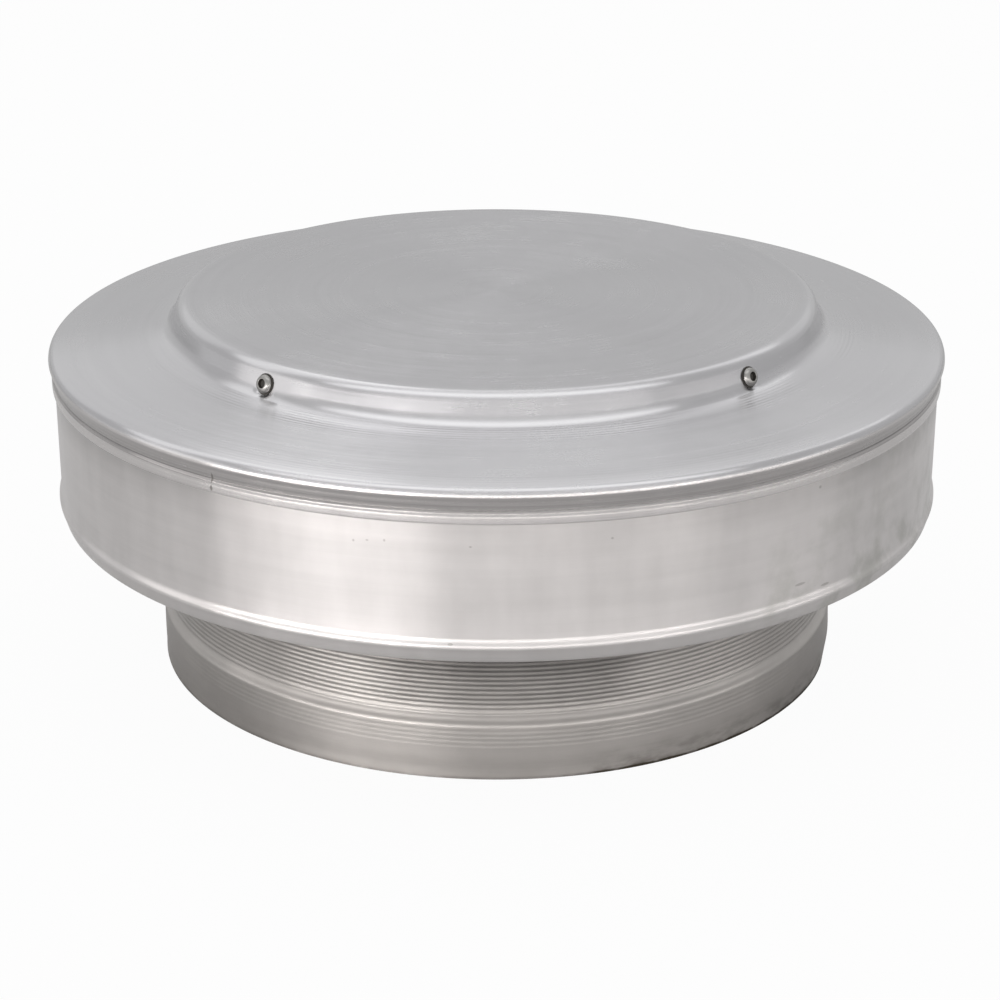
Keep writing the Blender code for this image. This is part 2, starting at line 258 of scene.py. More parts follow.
class VentRivetSizes(bpy.types.PropertyGroup):
    """The blind rivets."""

    head_radius: length("Head radius", "Radius of the head's flange", 0.00475)
    dome_radius: length("Dome radius", "Radius of the dome on the flange", 0.00415)
    head_height: length("Head height", "Height of the head", 0.0026)
    flange: length("Flange", "Thickness of the head's flange", 0.0003)
    dome_edge: length("Dome edge", "Height of the dome's upright edge over the flange", 0.0003)
    bore: length("Bore", "Radius of the open centre", 0.00205)
    bore_depth: length("Bore depth", "Depth to the broken pin", 0.0019)
    shank_radius: length("Shank radius", "Radius of the shank", 0.0024)
    tail_radius: length("Tail radius", "Radius of the set tail", 0.0034)
    tail_length: length("Tail length", "Length of the set tail", 0.0034)
    tail_swell: length("Tail swell", "Length over which the tail swells out", 0.0008)
    tail_taper: length("Tail taper", "Length over which the tail draws in at its end", 0.0010)
    grip: length("Grip", "Thickness that the rivet holds", 0.0037)


class VentFinish(bpy.types.PropertyGroup):
    """Colours, polish and painted shade of the metals."""

    hood: colour("Hood", "Spun sheet of the hood", (0.500, 0.496, 0.508))
    # Also painted on the hood's flange, a painted lighter side of the hood
    band: colour("Band", "Rolled sheet of the skirt band", (0.64, 0.617, 0.610))
    collar: colour("Collar", "Sheet of the collar", (0.480, 0.457, 0.438))
    strap: colour("Strap", "Flat bar of the straps", (0.50, 0.50, 0.49))
    rivet: colour("Rivet", "Rivet heads", (0.30, 0.295, 0.285))
    grime: colour("Grime", "Dirt in corners and seams", (0.070, 0.060, 0.046))
    # Painted shade in the rivets' bores and round their domes
    crevice_shade: colour("Crevice", "Deepest part of the rivets' bores", (0.012, 0.011, 0.010))
    tarnish: colour("Tarnish", "Oxide and handling stains", (0.34, 0.345, 0.31))
    roughness: share("Roughness", "Mean roughness of the sheet", 0.25)
    brushing: share("Brushing", "How far the spin marks draw out reflections", 0.88)
    ripple_height: length("Ripple height", "Height of the spinning ripples on the plate", 0.000020)
    ripple_pitch: length("Ripple pitch", "Distance from ripple to ripple", 0.0020)
    # Painted shade: how much darker the hood's crimp groove is painted
    crimp_shade_dark: share("Seam", "How much darker the hood's crimp is", 0.36)
    # Painted shade: how much darker the flange under the rim is painted
    under_rim_shade_dark: share("Tuck", "How much darker the sheet is just under the rim", 0.27)
    scuffing: share("Scuffs", "Contrast of the scuffs on the flange", 0.34)
    nick_dark: share("Nick", "How dark the nick in the flange is", 0.55)
    # Painted shade: how much darker the band's bead is painted
    bead_shade: share("Bead", "How much darker the band's bead is", 0.28)
    # Painted shade: how much darker the band under the flange is painted
    under_flange_shade: share("Under flange", "How much darker the band's upper part is", 0.22)
    speck_dark: share("Specks", "How dark the specks on the band are", 0.32)
    stain_depth: share("Stain", "How strong the stain at the band's right is", 0.42)
    # Painted shade: how much darker the neck under the skirt is painted
    neck_shade: share("Neck", "How much darker the upper part of the neck is", 0.30)
    # Painted shade: how much darker the front of the neck is painted
    front_shade: share("Neck front", "How much darker the front of the neck is", 0.32)


class VentStage(bpy.types.PropertyGroup):
    """Floor, light and camera."""

    floor_colour: colour("Floor", "Pale floor", (0.51, 0.51, 0.51))
    floor_size: length("Floor size", "Side of the floor", 14.0)
    floor_seen: share("Floor seen white", "How white the floor looks to the camera", 0.96)
    floor_mirrored: share("Floor mirrored white", "How white the floor looks in the metal", 0.06)
    world_light: share("World", "Strength of the room's own light", 0.72)
    lamp_reach: length("Lamp reach", "Distance of the lamps from the cap", 2.6)
    camera_place: point("Camera", "Place of the camera", (0.0, -1.1573, 0.5240))
    camera_pitch: angle("Pitch", "How far the camera looks down", 21.496)
    camera_lens: FloatProperty(name="Lens", description="Focal length in millimetres", default=90.806)
    camera_shift: FloatProperty(name="Shift", description="Sideways shift of the frame", default=0.00345)


# Modelling


def deselect_all():
    """Leave edit mode and deselect every object."""
    if bpy.context.object and bpy.context.object.mode != "OBJECT":
        bpy.ops.object.mode_set(mode="OBJECT")
    bpy.ops.object.select_all(action="DESELECT")


def name_piece(name):
    """Name the object that was just added, and its mesh, and apply its place."""
    piece = bpy.context.object
    piece.name = name
    piece.data.name = name
    bpy.ops.object.transform_apply(location=True)
    return piece


def thicken(piece, thickness):
    """Give a surface its thickness on the inner side."""
    wall = piece.modifiers.new("wall", "SOLIDIFY")
    wall.thickness = thickness
    wall.offset = -1.0
    wall.use_even_offset = True
    bpy.ops.object.modifier_apply(modifier=wall.name)


class Turning:
    """A surface of revolution drawn out ring by ring from a circle, as on a lathe."""

    def __init__(self, name, radius, height, steps):
        deselect_all()
        bpy.ops.mesh.primitive_circle_add(vertices=steps, radius=radius, location=(0, 0, height))
        self.piece = name_piece(name)
        bpy.ops.object.mode_set(mode="EDIT")
        bpy.ops.mesh.select_mode(type="EDGE")
        bpy.ops.mesh.select_all(action="SELECT")
        self.radius = radius
        self.height = height

    def pick(self, radius, height):
        """Select the ring of edges at one radius and height."""
        mesh = bmesh.from_edit_mesh(self.piece.data)
        for edge in mesh.edges:
            edge.select = all(
                abs(math.hypot(vert.co.x, vert.co.y) - radius) < RING_REACH
                and abs(vert.co.z - height) < RING_REACH
                for vert in edge.verts
            )
        mesh.select_flush_mode()
        bmesh.update_edit_mesh(self.piece.data)
        self.radius = radius
        self.height = height

    def draw(self, *places):
        """Extrude the selected ring through each radius and height in turn."""
        for radius, height in places:
            bpy.ops.mesh.extrude_region_move(
                TRANSFORM_OT_translate={"value": (0, 0, height - self.height)}
            )
            share_of_last = radius / self.radius
            bpy.ops.transform.resize(
                value=(share_of_last, share_of_last, 1), center_override=(0, 0, 0)
            )
            self.radius = radius
            self.height = height

    def close(self):
        """Draw the selected ring together into a pole on the axis."""
        bpy.ops.mesh.merge(type="CENTER")

    def round_off(self, radius, height, width, steps):
        """Bevel the ring of edges at one place into an arc."""
        self.pick(radius, height)
        bpy.ops.mesh.bevel(offset_type="OFFSET", offset=width, segments=steps, affect="EDGES")

    def finish(self, sheet=None):
        """Point the faces outwards, give a sheet its thickness and smooth the piece."""
        bpy.ops.mesh.select_all(action="SELECT")
        bpy.ops.mesh.remove_doubles(threshold=MERGE_REACH)
        bpy.ops.mesh.normals_make_consistent(inside=False)
        bpy.ops.object.mode_set(mode="OBJECT")
        if sheet:
            thicken(self.piece, sheet)
        bpy.ops.object.shade_smooth_by_angle(angle=SMOOTH_ANGLE)
        return self.piece


def fillet_width(radius, turn):
    """Return how far along each leg a fillet starts, from its radius and the corner's turn."""
    return radius * math.tan(turn / 2)


def put_on(piece, node, slot, *metals):
    """Give a piece its metals, set it on the body and hide what it replaces. The slot is not used."""
    for metal in metals:
        piece.data.materials.append(metal)
    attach(piece, "root")
    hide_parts(node)


def crimp_places(sizes, radius):
    """Return the crimp groove in a wall of this radius: a long upper side and a steep return."""
    steps = 6
    places = []
    for step in range(steps + 1):
        fall = (1 - math.cos(math.pi * step / steps)) / 2
        height = sizes.crimp_height + sizes.crimp_run * (1 - step / steps)
        places.append((radius - sizes.crimp_depth * fall, height))
    for step in range(1, steps + 1):
        rise = (1 - math.cos(math.pi * step / steps)) / 2
        height = sizes.crimp_height - sizes.crimp_return * step / steps
        places.append((radius - sizes.crimp_depth * (1 - rise), height))
    return places


def trace_places(sizes, radius):
    """Return the shallow second trace that the crimping tool left under the groove."""
    half_steps = 3
    middle = sizes.crimp_height - sizes.trace_drop
    places = []
    for step in range(-half_steps, half_steps + 1):
        part = step / half_steps
        dip = (1 + math.cos(math.pi * part)) / 2
        places.append((radius - sizes.trace_depth * dip, middle - sizes.trace_width * part))
    return places


def foot_places(sizes, wall_base_height):
    """Return the hollow at the wall's foot, which meets the plate in a faint crease."""
    turn = math.pi / 2 - sizes.wall_slant - sizes.plate_slope - sizes.base_crease
    down_wall = Vector((math.sin(sizes.wall_slant), -math.cos(sizes.wall_slant)))
    off_plate = Vector((math.sin(sizes.plate_slope), math.cos(sizes.plate_slope)))
    foot = Vector((sizes.wall_base_radius, wall_base_height))
    steps = 10
    chords = []
    for step in range(steps + 1):
        lean = sizes.wall_slant + turn * step / steps / 2
        chord = 2 * sizes.base_fillet * math.sin(turn * step / steps / 2)
        chords.append(Vector((math.sin(lean), -math.cos(lean))) * chord)
    start = foot - down_wall * (chords[-1].dot(off_plate) / down_wall.dot(off_plate))
    return [tuple(start + chord) for chord in chords]


def make_hood(sizes):
    """Turn the hood from the edge of its disc, inwards over the disc and outwards to the flange."""
    disc_rings = (0.96, 0.8, 0.5, 0.25, 0.08)
    plate_rings = (0.2, 0.5, 0.8, 1.0)
    curl_rings = (0.33, 0.67, 1.0)
    wall_base_height = sizes.disc_height - sizes.disc_rise
    wall_top_radius = sizes.wall_base_radius - sizes.disc_rise * math.tan(sizes.wall_slant)
    plate_run = sizes.rim_radius - sizes.wall_base_radius
    plate_fall = plate_run * math.tan(sizes.plate_slope)
    rim_height = wall_base_height - plate_fall
    flange_radius = sizes.rim_radius - sizes.overhang
    roll_end = rim_height - sizes.roll_height
    hood = Turning("spun_hood", wall_top_radius, sizes.disc_height, HOOD_STEPS)
    hood.draw(*[(wall_top_radius * part, sizes.disc_height) for part in disc_rings])
    hood.close()
    hood.pick(wall_top_radius, sizes.disc_height)
    hood.draw(*foot_places(sizes, wall_base_height))
    hood.draw(*[
        (sizes.wall_base_radius + plate_run * part, wall_base_height - plate_fall * part)
        for part in plate_rings
    ])
    hood.draw((sizes.rim_radius, roll_end), (flange_radius, roll_end - sizes.step_height))
    hood.draw(*crimp_places(sizes, flange_radius))
    hood.draw(*trace_places(sizes, flange_radius))
    hood.draw((flange_radius, sizes.flange_bottom + sizes.curl_height))
    hood.draw(*[
        (
            flange_radius - sizes.curl * (1 - math.cos(math.pi / 2 * part)),
            sizes.flange_bottom + sizes.curl_height * (1 - math.sin(math.pi / 2 * part)),
        )
        for part in curl_rings
    ])
    disc_width = fillet_width(sizes.disc_fillet, math.pi / 2 - sizes.wall_slant)
    rim_width = fillet_width(sizes.rim_fillet, math.pi / 2 - sizes.plate_slope)
    hood.round_off(wall_top_radius, sizes.disc_height, disc_width, FILLET_STEPS)
    hood.round_off(sizes.rim_radius, rim_height, rim_width, FILLET_STEPS)
    piece = hood.finish(sizes.sheet)
    for vert in piece.data.vertices:
        vert.co.z = min(vert.co.z, HOOD_HIGH.z)
    return piece


def press_seats(piece, sizes, seats):
    """Press the sheet flat under each rivet's head, as the rivet did when it was set."""
    # A thickened sheet's outer face holds the first half of its vertices.
    outer_count = len(piece.data.vertices) // 2
    reach = sizes.press_radius + sizes.press_fade
    for seat in seats:
        to_seat = seat.inverted()
        for vert in piece.data.vertices:
            place = to_seat @ vert.co
            out = math.hypot(place.x, place.y)
            if out > reach or abs(place.z) > sizes.press_depth:
                continue
            flat = 0.0 if vert.index < outer_count else -sizes.sheet
            fade = min((reach - out) / sizes.press_fade, 1.0)
            near = 1 - abs(place.z - flat) / sizes.press_depth
            hold = min(2 * max(near, 0.0), 1.0) * fade * fade * (3 - 2 * fade)
            place.z += (flat - place.z) * hold
            vert.co = seat @ place
    piece.data.update()


def make_band(sizes, hood_sizes):
    """Turn the skirt band from its hidden top edge down to the hem."""
    plain_rings = (0.125, 0.105)
    bead_middle = BAND_LOW.z + sizes.bead_height
    over_bead = (sizes.radius, bead_middle + sizes.bead_half_width)
    crest = (sizes.radius + sizes.bead_depth, bead_middle)
    under_bead = (sizes.radius + sizes.lip_flare, bead_middle - sizes.bead_half_width)
    lip = (sizes.radius - sizes.lip_taper, BAND_LOW.z)
    band = Turning("skirt_band_sheet", sizes.radius, BAND_HIGH.z, BAND_STEPS)
    band.draw(*crimp_places(hood_sizes, sizes.radius))
    band.draw(*[(sizes.radius, height) for height in plain_rings])
    band.draw(over_bead, crest, under_bead, lip, (lip[0] - sizes.hem_width, BAND_LOW.z))
    roundings = ((over_bead, 0.0012, 4), (crest, 0.0013, 6), (under_bead, 0.0008, 3), (lip, 0.0011, 5))
    for corner, width, steps in roundings:
        band.round_off(*corner, width, steps)
    return band.finish(hood_sizes.sheet)


def collar_radius(sizes, height):
    """Return the collar's outer radius at a height, with its ribs and faint rings."""
    if height < 2 * sizes.edge_groove_height:
        swing = math.cos(math.pi * height / sizes.edge_groove_height)
        return sizes.socket_radius - sizes.edge_groove_depth * (1 - swing) / 2
    over = height - sizes.socket_height
    if abs(over) < sizes.shoulder_soft:
        over = (over + sizes.shoulder_soft) ** 2 / (4 * sizes.shoulder_soft)
    rise = min(max(over / sizes.flare_height, 0.0), 1.0)
    plain = sizes.socket_radius - sizes.neck_step * (1 - (1 - rise) ** 4)
    top = sizes.rib_start + sizes.rib_count * sizes.rib_pitch
    turn = (height - sizes.rib_start) / sizes.rib_pitch
    groove = (1 - math.cos(math.tau * turn)) / 2
    if sizes.rib_start <= height <= top:
        return plain - sizes.rib_depth * groove
    if sizes.faint_end <= height <= sizes.socket_height - sizes.rib_pitch / 2:
        return plain - sizes.faint_depth * groove
    return plain


def make_collar(sizes, sheet):
    """Turn the collar from its top edge down, then knock its lower edge in at one place."""
    rings_per_rib = 6
    under_top, over_ribs = 0.020, 0.002
    edge_rings = (0.0125, 0.0100, 0.0088, 0.0075, 0.0062, 0.0050, 0.0038, 0.0025, 0.0012, 0.0)
    fine_step = sizes.rib_pitch / rings_per_rib
    fine_top = sizes.rib_start + sizes.rib_count * sizes.rib_pitch
    fine_steps = round((fine_top - sizes.faint_end) / fine_step)
    heights = [COLLAR_HIGH.z - under_top, fine_top + over_ribs]
    heights += [fine_top - fine_step * step for step in range(fine_steps + 1)]
    heights += edge_rings
    top_radius = collar_radius(sizes, COLLAR_HIGH.z)
    collar = Turning("collar_sheet", top_radius, COLLAR_HIGH.z, COLLAR_STEPS)
    collar.draw(*[(collar_radius(sizes, height), height) for height in heights])
    piece = collar.finish(sheet)
    for vert in piece.data.vertices:
        vert.co.z = min(max(vert.co.z, COLLAR_LOW.z), COLLAR_HIGH.z)
        away = (math.atan2(vert.co.x, -vert.co.y) - sizes.knock_angle) / sizes.knock_spread
        bulge = math.exp(-((vert.co.z / sizes.bulge_height) ** 2))
        fade = (1 - vert.co.z / sizes.knock_height) * bulge
        push = sizes.knock_depth * math.exp(-away * away) * fade
        shrink = 1 - push / math.hypot(vert.co.x, vert.co.y)
        vert.co.x *= shrink
        vert.co.y *= shrink
    return piece


def strap_angles(sizes):
    """Return the angles of the four straps, a pair at the front and a pair at the back."""
    half = sizes.spread / 2
    return [sizes.phase + centre + side * half for centre in (0.0, math.pi) for side in (-1, 1)]


def neck_radius(collar):
    """Return the outer radius of the collar's plain neck."""
    return collar.socket_radius - collar.neck_step


def wall_rivet_place(hood, straps):
    """Return the radius and height at which the upper rivets sit on the disc's wall."""
    rise = straps.wall_rivet_rise
    radius = hood.wall_base_radius - rise * math.tan(hood.wall_slant)
    return Vector((radius, hood.disc_height - hood.disc_rise + rise))


def seat_matrix(turn, radius, height, tilt):
    """Return the placing of a rivet whose axis leaves the sheet at this point."""
    level = math.cos(tilt)
    outward = Vector((math.sin(turn) * level, -math.cos(turn) * level, math.sin(tilt)))
    place = Vector((radius * math.sin(turn), -radius * math.cos(turn), height))
    return Matrix.Translation(place) @ outward.to_track_quat("Z", "Y").to_matrix().to_4x4()


def wall_seat(hood, straps, turn):
    """Return the rivet seat on the disc's slanting wall."""
    return seat_matrix(turn, *wall_rivet_place(hood, straps), hood.wall_slant)


def collar_seat(collar, straps, turn):
    """Return the rivet seat on the collar's neck."""
    return seat_matrix(turn, neck_radius(collar), COLLAR_HIGH.z - straps.collar_rivet_drop, 0.0)


def make_strap(number, turn, sizes, hood, collar):
    """Bend one strap: a section of bar extruded along its bends and spun to the collar's curve."""
    wall = Vector((math.sin(hood.wall_slant), -math.cos(hood.wall_slant)))
    inward = Vector((wall.y, -wall.x))
    seat = wall_rivet_place(hood, sizes) + inward * (hood.sheet + sizes.seat_gap)
    foot_radius = neck_radius(collar) - hood.sheet - sizes.seat_gap
    top = seat - wall * sizes.tab
    knee = seat + wall * sizes.tab
    bend = Vector((foot_radius, COLLAR_HIGH.z + sizes.bend_rise))
    foot = Vector((foot_radius, COLLAR_HIGH.z - sizes.lap))
    deselect_all()
    bpy.ops.mesh.primitive_plane_add(size=sizes.tab, location=(top.x, 0, top.y))
    piece = name_piece(f"support_strap_bar_{number}")
    bpy.ops.object.mode_set(mode="EDIT")
    bpy.ops.mesh.select_mode(type="VERT")
    bpy.ops.mesh.select_all(action="SELECT")
    bpy.ops.mesh.merge(type="CENTER")
    for start, end in ((top, knee), (knee, bend), (bend, foot)):
        step = end - start
        bpy.ops.mesh.extrude_vertices_move(TRANSFORM_OT_translate={"value": (step.x, 0, step.y)})
    mesh = bmesh.from_edit_mesh(piece.data)
    for vert in mesh.verts:
        vert.select = min(abs(vert.co.z - knee.y), abs(vert.co.z - bend.y)) < RING_REACH
    mesh.select_flush_mode()
    bmesh.update_edit_mesh(piece.data)
    bpy.ops.mesh.bevel(offset=sizes.bend_width, segments=5, affect="VERTICES")
    bpy.ops.mesh.select_all(action="SELECT")
    width_angle = sizes.width / neck_radius(collar)
    bpy.ops.transform.rotate(
        value=-(turn - math.pi / 2 - width_angle / 2), orient_axis="Z", center_override=(0, 0, 0)
    )
    bpy.ops.mesh.spin(steps=12, angle=-width_angle, center=(0, 0, 0), axis=(0, 0, 1))
    bpy.ops.mesh.select_all(action="SELECT")
    bpy.ops.mesh.remove_doubles(threshold=MERGE_REACH)
    bpy.ops.mesh.normals_make_consistent(inside=False)
    mesh = bmesh.from_edit_mesh(piece.data)
    if sum(face.normal.dot(face.calc_center_median()) for face in mesh.faces) < 0:
        bpy.ops.mesh.flip_normals()
    bpy.ops.object.mode_set(mode="OBJECT")
    thicken(piece, sizes.thickness)
    edges = piece.modifiers.new("edges", "BEVEL")
    edges.width = sizes.edge_radius
    edges.segments = 2
    edges.angle_limit = math.radians(60)
    bpy.ops.object.modifier_apply(modifier=edges.name)
    bpy.ops.object.shade_smooth_by_angle(angle=SMOOTH_ANGLE)
    return piece


def make_rivet(sizes):
    """Turn one set blind rivet on the origin, with the underside of its head at height 0."""
    pin_rings = ((0.86, 0.0), (0.82, 0.0005), (0.40, 0.0003))
    dome_steps = 8
    dome_undercut, flange_fall, tail_narrowing, tail_hole = 0.0002, 0.8, 0.7, 0.0004
    bore_rounding, tail_rounding = 0.0002, 0.0005
    head = sizes.head_height
    pin = head - sizes.bore_depth
    dome_run = sizes.dome_radius - sizes.bore
    dome_base = sizes.flange + sizes.dome_edge
    tail_top = -sizes.grip - sizes.tail_swell
    tail_end = -sizes.grip - sizes.tail_length
    tail_shoulder = tail_end + sizes.tail_taper
    rivet = Turning("blind_rivet", sizes.bore, head, RIVET_STEPS)
    rivet.draw((sizes.bore, pin), *[(sizes.bore * part, pin + rise) for part, rise in pin_rings])
    rivet.close()
    rivet.pick(sizes.bore, head)
    for step in range(1, dome_steps + 1):
        turn = math.pi / 2 * step / dome_steps
        out = sizes.bore + dome_run * math.sin(turn)
        rivet.draw((out, dome_base + (head - dome_base) * math.cos(turn)))
    rivet.draw((sizes.dome_radius - dome_undercut, sizes.flange))
    rivet.draw((sizes.head_radius, sizes.flange * flange_fall))
    rivet.draw((sizes.head_radius, 0.0), (sizes.shank_radius, 0.0), (sizes.shank_radius, -sizes.grip))
    rivet.draw((sizes.tail_radius, tail_top), (sizes.tail_radius, tail_shoulder))
    rivet.draw((sizes.tail_radius * tail_narrowing, tail_end), (tail_hole, tail_end))
    rivet.close()
    rivet.round_off(sizes.bore, head, bore_rounding, 3)
    rivet.round_off(sizes.tail_radius, tail_shoulder, tail_rounding, 3)
    return rivet.finish()


def mark_crevice_shades(rivet, sizes):
    """Put the rivet's second metal, its painted shade, in its bore and on the edge round its dome."""
    near = 0.0001
    edge_start = sizes.dome_radius - 0.00015
    for face in rivet.data.polygons:
        out = math.hypot(face.center.x, face.center.y)
        height = face.center.z
        edge = out > edge_start and height < sizes.flange + sizes.dome_edge
        bore = out < sizes.bore and height < sizes.head_height - near
        face.material_index = int((edge or bore) and height > -near)


# Finishes


class Signal:
    """A number, vector or colour on its way through a material's nodes."""

    def __init__(self, board, socket):
        self.board = board
        self.socket = socket

    def math(self, operation, *others, clamp=False):
        settings = {"operation": operation, "use_clamp": clamp}
        return self.board.node("ShaderNodeMath", settings, dict(enumerate((self, *others))))

    def __add__(self, other):
        return self.math("ADD", other)

    __radd__ = __add__

    def __sub__(self, other):
        return self.math("SUBTRACT", other)

    def __rsub__(self, other):
        return self.board.node("ShaderNodeMath", {"operation": "SUBTRACT"}, {0: other, 1: self})

    def __mul__(self, other):
        return self.math("MULTIPLY", other)

    __rmul__ = __mul__

    def __pow__(self, other):
        return self.math("POWER", other)

    def clamped(self):
        """Return the value held between 0 and 1."""
        return self.math("ADD", 0.0, clamp=True)

    def sine(self):
        """Return the sine of the value in radians."""
        return self.math("SINE")

    def ramp(self, low, high):
        """Return a smooth step from 0 at low to 1 at high."""
        settings = {"interpolation_type": "SMOOTHSTEP"}
        inputs = {0: self, 1: low, 2: high, 3: 0.0, 4: 1.0}
        return self.board.node("ShaderNodeMapRange", settings, inputs)

    def between(self, start, end, soft):
        """Return 1 from start to end, fading to 0 over a soft margin on either side."""
        return self.ramp(start - soft, start) * (1 - self.ramp(end, end + soft))


class Board:
    """A tree of shader nodes that expressions are written on."""

    def __init__(self, tree):
        self.tree = tree
        tree.nodes.clear()

    def feed(self, socket, value):
        """Link a signal to a socket, or set the socket to a plain value."""
        if isinstance(value, Signal):
            self.tree.links.new(value.socket, socket)
        elif socket.type == "RGBA" and len(value) == 3:
            socket.default_value = (*value, 1.0)
        else:
            socket.default_value = value

    def node(self, kind, settings=None, inputs=None, output=0):
        """Add a node, set it up, fill its sockets and return one of its outputs."""
        made = self.tree.nodes.new(kind)
        for name, value in (settings or {}).items():
            setattr(made, name, value)
        for name, value in (inputs or {}).items():
            self.feed(made.inputs[name], value)
        return Signal(self, made.outputs[output])

    def mix(self, factor, first, second, blend="MIX"):
        """Return one colour fading into another."""
        settings = {"data_type": "RGBA", "blend_type": blend}
        return self.node("ShaderNodeMix", settings, {0: factor, 6: first, 7: second}, output=2)

    def vector(self, x, y, z):
        """Return a vector from its parts."""
        return self.node("ShaderNodeCombineXYZ", None, {0: x, 1: y, 2: z})


class Metal(Board):
    """A procedural metal with the cap's own coordinates: radius, angle and height."""

    def __init__(self, name):
        self.material = bpy.data.materials.new(name)
        self.material.use_nodes = True
        super().__init__(self.material.node_tree)
        output = self.tree.nodes.new("ShaderNodeOutputMaterial")
        self.shader = self.tree.nodes.new("ShaderNodeBsdfPrincipled")
        self.tree.links.new(self.shader.outputs[0], output.inputs["Surface"])
        self.place = self.node("ShaderNodeTexCoord", output="Object")
        parts = self.tree.nodes.new("ShaderNodeSeparateXYZ")
        self.feed(parts.inputs[0], self.place)
        self.x, self.y, self.height = (Signal(self, part) for part in parts.outputs)
        self.radius = (self.x * self.x + self.y * self.y) ** 0.5
        self.angle = self.x.math("ARCTAN2", 0 - self.y)
        self.relief = None

    def noise(self, vector, scale=1.0, detail=3.0):
        """Return fractal noise about 0.5."""
        return self.node(
            "ShaderNodeTexNoise", None,
            {"Vector": vector, "Scale": scale, "Detail": detail, "Roughness": 0.55},
        )

    def spin_marks(self, pitch, drift=5.0):
        """Return noise drawn out into rings round the axis, a pitch apart across the sheet."""
        across = (self.radius + 1.3 * self.height) * (1 / pitch)
        return self.noise(self.vector(self.x * drift, self.y * drift, across), detail=2.0)

    def mottle(self, size, detail=4.0):
        """Return cloudy patches of about this size."""
        return self.noise(self.place, 1 / size, detail)

    def streaks(self, around, up, start, detail):
        """Return noise with these numbers of changes per metre round the cap and up it."""
        return self.noise(
            self.vector(self.angle * self.radius * around, self.height * up, start), detail=detail
        )

    def side(self, degrees, soft):
        """Return 1 on one side of the cap, between two angles, fading out on both."""
        return self.angle.between(*map(math.radians, degrees), math.radians(soft))

    def marks(self, spots):
        """Return small soft-edged spots, each at its own angle and height."""
        total = 0
        for degrees, height, half_width, half_height in spots:
            across = (self.angle - math.radians(degrees)) * self.radius * (1 / half_width)
            up = (self.height - height) * (1 / half_height)
            total = total + (1 - (across * across + up * up).ramp(0.5, 1.5))
        return total.clamped()

    def swing(self, mean, *noises):
        """Return a mean value with each noise swinging about it by its own share."""
        for noise, part in noises:
            mean = mean + part * (noise - 0.5)
        return mean

    def lit(self, base, light):
        """Return a colour made darker or lighter by a factor."""
        return self.mix(1.0, base, self.vector(light, light, light), blend="MULTIPLY")

    def emboss(self, heights):
        """Add relief in metres to the surface."""
        inputs = {"Strength": 1.0, "Distance": 1.0, "Height": heights}
        if self.relief:
            inputs["Normal"] = self.relief
        self.relief = self.node("ShaderNodeBump", None, inputs)
        self.feed(self.shader.inputs["Normal"], self.relief)

    def shade(self, tint, polish, metallic=1.0):
        """Set the surface's colour and roughness, and return the material."""
        self.feed(self.shader.inputs["Base Color"], tint)
        self.feed(self.shader.inputs["Roughness"], polish)
        self.shader.inputs["Metallic"].default_value = metallic
        return self.material

    def draw_out(self, brushing):
        """Draw the reflections out across the spin marks, as fine rings do."""
        self.shader.inputs["Anisotropic"].default_value = brushing
        self.shader.inputs["Anisotropic Rotation"].default_value = 0.25


def hood_metal(finish, sizes):
    """Return the hood's spun sheet: fine rings, ripples on the plate and scuffs on the flange, with
    painted shade in the crimp and under the rim and the flange painted lighter.
    """
    metal = Metal("spun_hood_aluminium")
    metal.draw_out(finish.brushing)
    fine = metal.spin_marks(0.0009)
    broad = metal.spin_marks(0.0060, drift=9.0)
    scuffs = metal.spin_marks(0.0011, drift=3.0)
    cloud = metal.mottle(0.060)
    patch = metal.mottle(0.012)
    flange = 1 - metal.height.ramp(*HOOD_ROLL)
    # Painted shade: a thin dark line along the steep lower side of the crimp groove.
    crimp_shade_middle = sizes.crimp_height - sizes.crimp_return / 2
    crimp_shade = metal.height.between(crimp_shade_middle - HOOD_CRIMP_SHADE_HALF, crimp_shade_middle + HOOD_CRIMP_SHADE_HALF, 0.0004)
    # Painted shade: the flange from the crimp up to the rolled rim's underside is painted darker.
    under_rim_shade = metal.height.between(sizes.crimp_height, HOOD_UNDER_RIM_SHADE_TOP, 0.0008)
    base = metal.mix(0.10 * (cloud - 0.30).clamped(), finish.hood, finish.tarnish)
    # Painted lighter side: the hood's upright flange is painted in the band's lighter, warmer colour.
    base = metal.mix(flange, base, finish.band)
    light = metal.swing(1, (fine, 0.10), (broad, 0.08), (cloud, 0.10), (patch, 0.05))
    light = light - finish.crimp_shade_dark * crimp_shade - finish.under_rim_shade_dark * under_rim_shade
    light = light + finish.scuffing * flange * (scuffs - 0.62)
    tint = metal.mix(finish.nick_dark * metal.marks(HOOD_NICK), metal.lit(base, light), finish.grime)
    ripple = (metal.radius * (math.tau / finish.ripple_pitch)).sine()
    fitful = metal.mottle(0.030, detail=1.0).ramp(0.35, 0.60)
    near_wall = metal.radius.between(*HOOD_WALL_RIPPLES, 0.0035) * fitful
    near_rim = metal.radius.between(*HOOD_RIM_RIPPLES, 0.0040) * 0.25
    on_plate = metal.height.ramp(*HOOD_PLATE)
    metal.emboss(ripple * finish.ripple_height * on_plate * (near_wall + near_rim))
    metal.emboss((metal.mottle(0.045, detail=1.0) - 0.5) * 0.00010)
    return metal.shade(tint, metal.swing(finish.roughness, (fine, 0.10), (cloud, 0.10), (patch, 0.08)))


